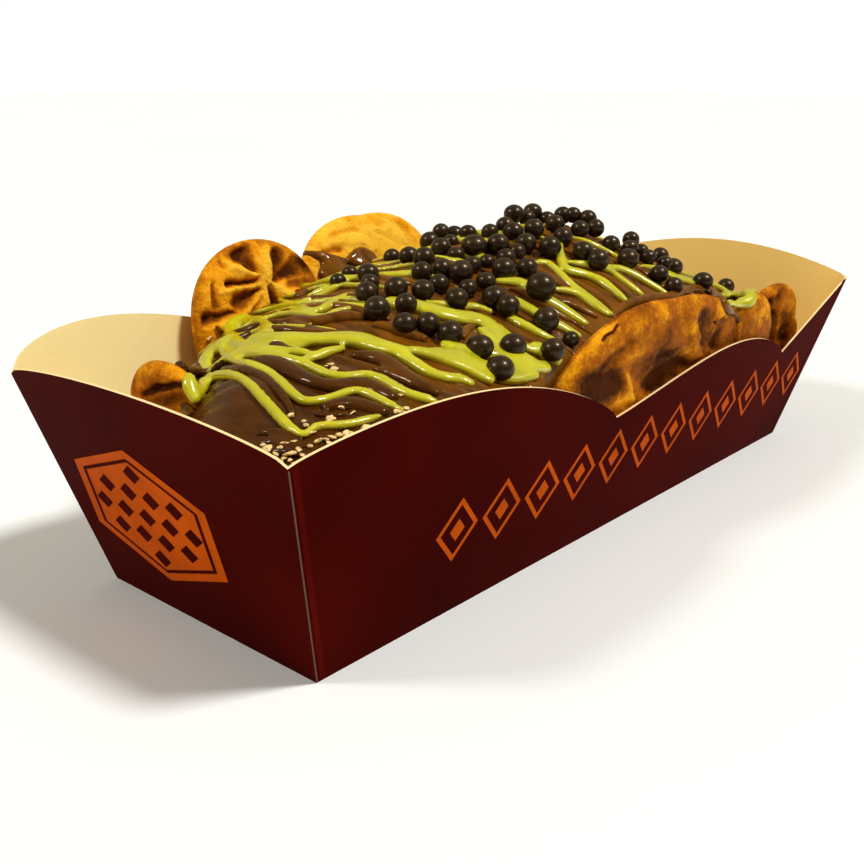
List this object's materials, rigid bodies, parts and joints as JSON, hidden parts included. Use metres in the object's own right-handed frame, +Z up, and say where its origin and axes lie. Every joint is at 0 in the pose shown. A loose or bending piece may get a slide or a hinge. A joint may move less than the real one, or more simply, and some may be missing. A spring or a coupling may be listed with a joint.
{
  "type": "waffle in a card tray",
  "caption": "Folded waffle under chocolate spread, green sauce strands and chocolate balls, in an open card tray with scalloped walls.",
  "frame": {"origin": "centre of the box's underside, on the surface that the tray stands on", "axes": "+X along the tray's length towards its far end with the higher arched wall, +Y away from the wall shown on the right of the picture, +Z up"},
  "size_m": [0.2656, 0.1033, 0.0829],
  "materials": {
    "card_print": "satin dark maroon print on card",
    "card_inside": "uncoated cream card",
    "print_orange": "satin orange print",
    "waffle": "baked, golden with browned hollows",
    "chocolate": "glossy spread",
    "sauce": "glossy sauce",
    "balls": "soft gloss",
    "nuts": "matt"
  },
  "bodies": {
    "root": {"tray": "card_print", "waffle_rear": "waffle", "waffle_front": "waffle", "waffle_tail": "waffle", "waffle_corner": "waffle", "topping": "chocolate"}
  },
  "joints": []
}
